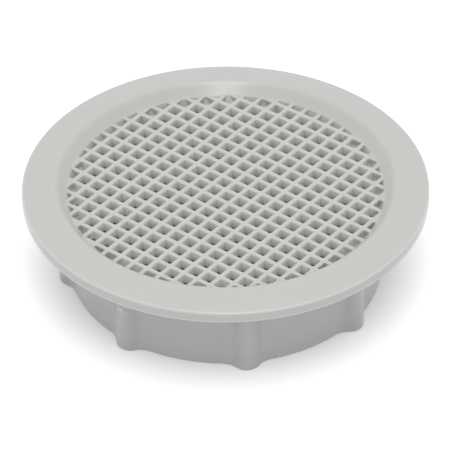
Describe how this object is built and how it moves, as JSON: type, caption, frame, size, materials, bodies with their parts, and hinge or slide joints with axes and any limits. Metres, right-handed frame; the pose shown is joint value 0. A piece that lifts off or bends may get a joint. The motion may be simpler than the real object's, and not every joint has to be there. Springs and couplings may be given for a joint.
{
  "type": "round vent cover",
  "caption": "Round push-in vent cover: a wide flange round a recessed square-mesh grille, over a short collar with rounded lobes that grip a drilled hole.",
  "frame": {"origin": "centre of the collar's rim, on the surface that the cover stands on", "axes": "+Z along the axis of the vent, from the rim up to the grille face; X and Y run along the ribs of the grille"},
  "size_m": [0.085, 0.085, 0.0224],
  "materials": {
    "grey_plastic": "satin"
  },
  "bodies": {
    "root": {"vent_cover": "grey_plastic"}
  },
  "joints": []
}
